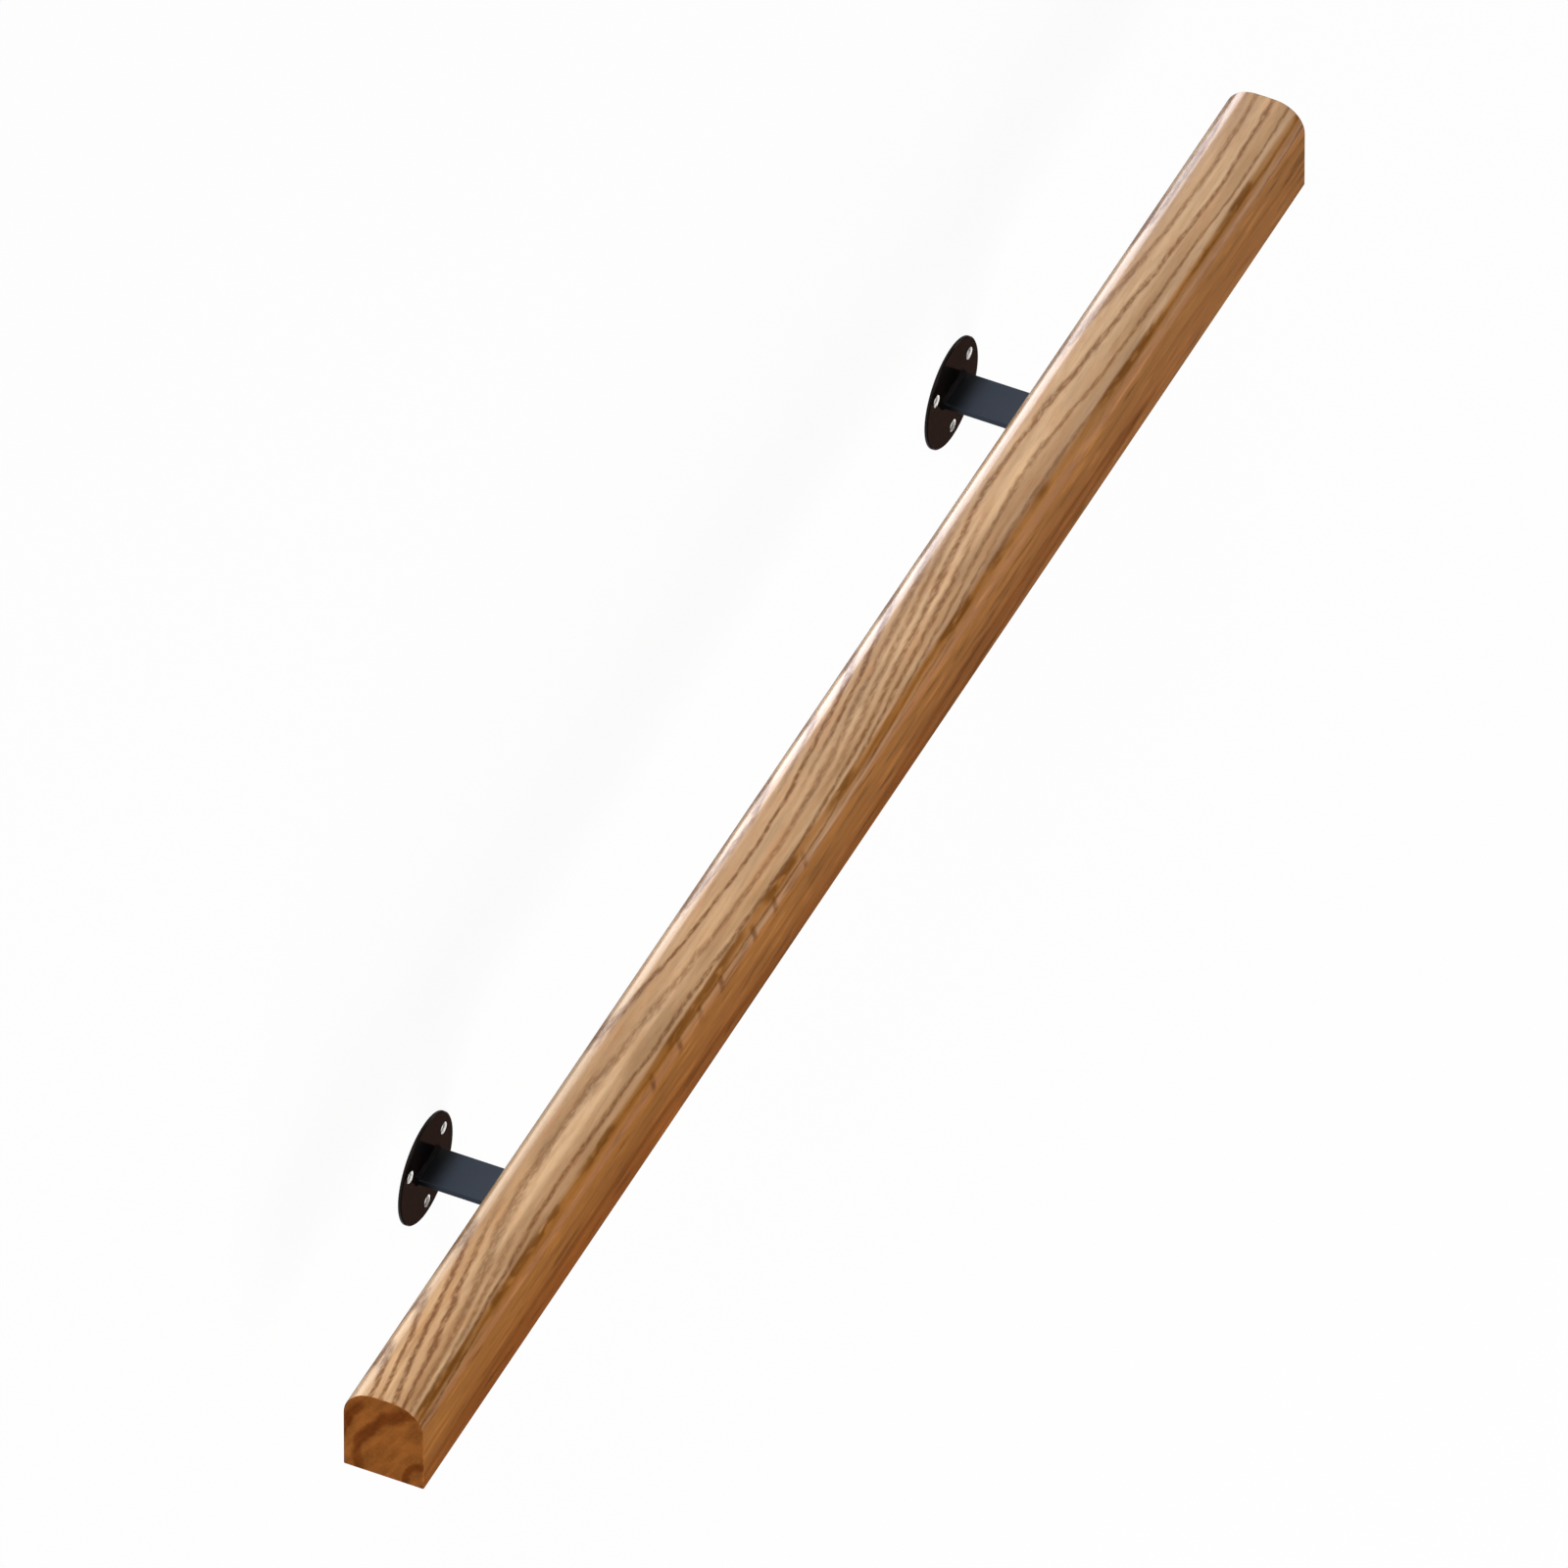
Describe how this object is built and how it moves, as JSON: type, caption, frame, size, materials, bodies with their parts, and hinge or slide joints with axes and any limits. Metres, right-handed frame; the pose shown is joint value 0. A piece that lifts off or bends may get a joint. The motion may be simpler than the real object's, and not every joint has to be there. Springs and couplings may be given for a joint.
{
  "type": "wall-mounted stair handrail",
  "caption": "Straight timber stair handrail with a rounded top and flat underside, held off the wall by round steel plates with flat arms that pass under the rail.",
  "frame": {"origin": "middle of the base, on the wall plane at the backs of the two wall plates, half-way along the rail", "axes": "+X along the rail towards its upper end, +Y up the wall towards the rounded top, +Z away from the wall"},
  "size_m": [1.2, 0.101, 0.1155],
  "materials": {
    "lacquered_wood": "clear gloss lacquer over open-grained timber",
    "black_paint": "semi-gloss black paint on flat steel",
    "screw_steel": "bright zinc-plated steel"
  },
  "bodies": {
    "root": {"handrail": "lacquered_wood", "wall_plate_lower": "black_paint", "support_arm_lower": "black_paint", "wall_plate_upper": "black_paint", "support_arm_upper": "black_paint", "rail_screw_lower_inner": "screw_steel", "rail_screw_lower_outer": "screw_steel", "rail_screw_upper_inner": "screw_steel", "rail_screw_upper_outer": "screw_steel"}
  },
  "joints": []
}
